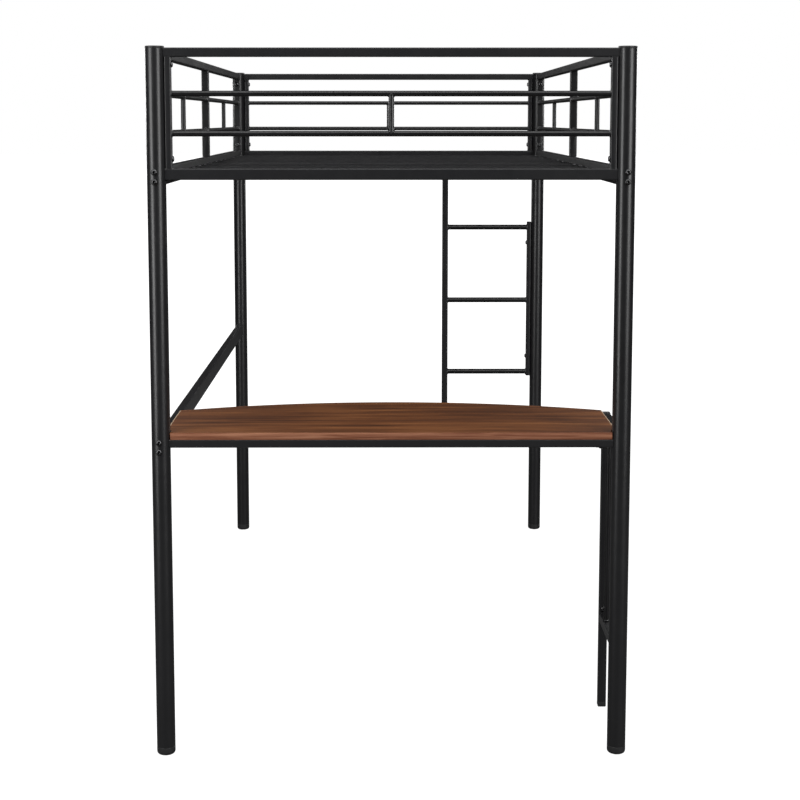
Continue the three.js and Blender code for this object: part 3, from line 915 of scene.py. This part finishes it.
def rounded_end(node, section, outer, inner, stem_end, rounding):
    """A square plug with a rounded outer end and a stem that goes into the tube."""
    way = 1 if inner > outer else -1
    rings = []
    for i in range(7):
        angle = math.pi / 2 * i / 6
        inset = rounding * (1 - math.sin(angle))
        z = outer + way * rounding * (1 - math.cos(angle))
        rings.append([Vector((leg_centre[0] + u, leg_centre[1] + v, z)) for u, v in section(inset)])
    for inset, z in ((0, inner - way * 0.3), (0.3, inner)):
        rings.append([Vector((leg_centre[0] + u, leg_centre[1] + v, z)) for u, v in section(inset)])
    stem = extrusion("z", STEM_SECTION, leg_centre, sorted((inner - way, stem_end)), chamfer=0.6)
    plug(node, [loft(rings), stem])


low, high = cad_box("desk_leg_foot")
rounded_end("desk_leg_foot", LEG_SECTION, 0.0, leg_bottom - SEAT_GAP, high.z, 2.2)
low, high = cad_box("desk_leg_cap")
rounded_end("desk_leg_cap", LEG_SECTION, high.z, leg_top + SEAT_GAP, low.z, 1.0)

nut_angles = [math.tau * i / 36 for i in range(36)]
nut_rings = []
for apothem, t in ((3.75, 0), (5.0, 0), (5.6, 0.5), (5.6, 4.5), (5.0, 5), (3.75, 5)):
    ring = []
    for angle in nut_angles:
        reach = apothem if apothem < 5.5 else hexagon_reach(5.0, angle)
        u, v = leg_bolt_at[0] + reach * math.cos(angle), leg_bolt_at[1] + reach * math.sin(angle)
        ring.append(Vector((leg_inner_x - SEAT_GAP - t, u, v)))
    nut_rings.append(ring)
piece("desk_leg_nut", [loft(nut_rings, wrap=True)], BOLT, "bolt_steel")


# ---------- Ladder and far lower rail ----------


low, high = cad_box("far_step_rail")
steel("far_step_rail", [box_tube("x", low, high, coped_ends(POST_Y, POST_X))])

low, high = cad_box("ladder")
section = rectangle(RAIL, RAIL)
stile_x = BETWEEN_X - SIDE_TUBE_WIDTH / 2
left_face, right_face = LADDER_STILE_X + RAIL / 2, BETWEEN_X - SIDE_TUBE_WIDTH
skins = [
    extrusion("z", section, (LADDER_STILE_X, POST_Y), (low.z, high.z)),
    extrusion("z", rectangle(SIDE_TUBE_WIDTH, RAIL), (stile_x, POST_Y), SHORT_STILE, chamfer=1.2),
]
for z in RUNG_HEIGHTS:
    ends = (left_face - WELD_DEPTH, right_face + WELD_DEPTH)
    skins.append(extrusion("x", disc(RUNG_RADIUS, 40), (POST_Y, z), ends))
    skins += [collar("x", (POST_Y, z), x, RUNG_RADIUS) for x in (left_face, right_face)]
ladder_holes = []
for level in ("lower", "upper"):
    low, high = cad_box(f"ladder_bolt_{level}")
    at = ((low.y + high.y) / 2, (low.z + high.z) / 2)
    ladder_holes.append(hole("x", at, right_face + 1, BETWEEN_X + 3))
steel("ladder", skins, ladder_holes)


# ---------- Floor, light and camera ----------


def seen_by_camera(tree, seen, unseen, output):
    """Shows the camera one shader, and every other ray another."""
    camera_ray = add_node(tree, "ShaderNodeLightPath").outputs["Is Camera Ray"]
    blend = add_node(tree, "ShaderNodeMixShader", {0: camera_ray})
    tree.links.new(unseen, blend.inputs[1])
    tree.links.new(seen, blend.inputs[2])
    tree.links.new(blend.outputs[0], tree.nodes[output].inputs["Surface"])


def make_floor(bounce):
    """A pale matt floor that fades into the white surroundings a few metres away. It throws
    only a little light back on the bed."""
    mesh = bpy.data.meshes.new("floor")
    section = disc(60000.0, 64)(0)
    mesh.from_pydata([Vector((u, v, 0)) * MM for u, v in section], [], [tuple(range(64))])
    floor = bpy.data.objects.new("floor", mesh)
    bpy.context.scene.collection.objects.link(floor)
    material, tree, shader = new_material("pale_floor", Specular_IOR_Level=0.2)
    tone = mixed(tree, noise(tree, 1.3, 3), noise(tree, 60.0, 3), 0.4)
    base = ramp(tree, tone, [(0.3, (0.84, 0.84, 0.84)), (0.7, (0.88, 0.88, 0.88))])
    tree.links.new(base, shader.inputs["Base Color"])
    tree.links.new(between(tree, tone, 0.75, 0.85), shader.inputs["Roughness"])
    place = add_node(tree, "ShaderNodeTexCoord").outputs["Object"]
    distance = add_node(tree, "ShaderNodeVectorMath", {0: place}, operation="LENGTH")
    far = between(tree, distance.outputs["Value"], 0.7, 1.0, (1.6, 4.0))
    white = add_node(tree, "ShaderNodeEmission", {"Color": (1, 1, 1, 1), "Strength": 1.3})
    fading = add_node(tree, "ShaderNodeMixShader", {0: far})
    tree.links.new(shader.outputs[0], fading.inputs[1])
    tree.links.new(white.outputs[0], fading.inputs[2])
    dim = add_node(tree, "ShaderNodeBsdfDiffuse", {"Color": (bounce, bounce, bounce, 1)})
    seen_by_camera(tree, fading.outputs[0], dim.outputs[0], "Material Output")
    mesh.materials.append(material)


def make_world(ambient):
    """White surroundings that light the bed only gently."""
    world = bpy.data.worlds.new("surroundings")
    bpy.context.scene.world = world
    world.use_nodes = True
    tree = world.node_tree
    dim = tree.nodes["Background"]
    dim.inputs["Color"].default_value = (1, 1, 1, 1)
    dim.inputs["Strength"].default_value = ambient
    white = add_node(tree, "ShaderNodeBackground", {"Color": (1, 1, 1, 1), "Strength": 1.0})
    seen_by_camera(tree, white.outputs[0], dim.outputs[0], "World Output")


def soft_box(name, place, target, size, radiance):
    """An area light of a given radiance that the camera doesn't see."""
    light = bpy.data.lights.new(name, "AREA")
    light.shape = "RECTANGLE"
    light.size, light.size_y = size
    light.energy = radiance * math.pi * size[0] * size[1]
    obj = bpy.data.objects.new(name, light)
    bpy.context.scene.collection.objects.link(obj)
    obj.location = place
    obj.rotation_euler = (Vector(target) - Vector(place)).to_track_quat("-Z", "Y").to_euler()
    obj.visible_camera = False


def round_the_bed(azimuth, distance, height):
    """A point at an azimuth seen from the bed; 0 is in front of the desk end, 90 is +X."""
    angle = math.radians(azimuth)
    return math.sin(angle) * distance, -math.cos(angle) * distance, height


make_floor(0.10)
make_world(0.02)
soft_box("front_left_box", round_the_bed(-42.4, 3.45, 1.75), (-0.4, -0.9, 1.2), (1.15, 3.2), 6.0)
soft_box("front_right_box", round_the_bed(41.0, 6.4, 2.7), (0.4, -0.9, 1.2), (2.8, 5.0), 5.9)
soft_box("back_left_box", round_the_bed(-140, 4.8, 2.6), (0, 0.6, 1.2), (1.6, 2.6), 8.0)
soft_box("back_right_box", round_the_bed(140, 4.8, 2.6), (0, 0.6, 1.2), (1.6, 2.6), 8.0)
soft_box("top_box", (0, -2.1, 4.4), (0, -1.2, 0), (4.6, 2.4), 4.0)

camera_data = bpy.data.cameras.new("camera")
camera = bpy.data.objects.new("camera", camera_data)
bpy.context.scene.collection.objects.link(camera)
bpy.context.scene.camera = camera
camera_data.lens = 69.12
camera_data.sensor_width = 36.0
camera_data.shift_x = 0.0101
camera_data.shift_y = -0.1318
camera_data.clip_end = 200.0
CAMERA_PITCH, CAMERA_YAW = 6.5, 0.30  # degrees down, and degrees towards +X
camera.location = (-0.0164, -4.3494, 1.4406)
camera.rotation_euler = (math.radians(90 - CAMERA_PITCH), 0, math.radians(-CAMERA_YAW))

bpy.context.scene.view_settings.view_transform = "Standard"
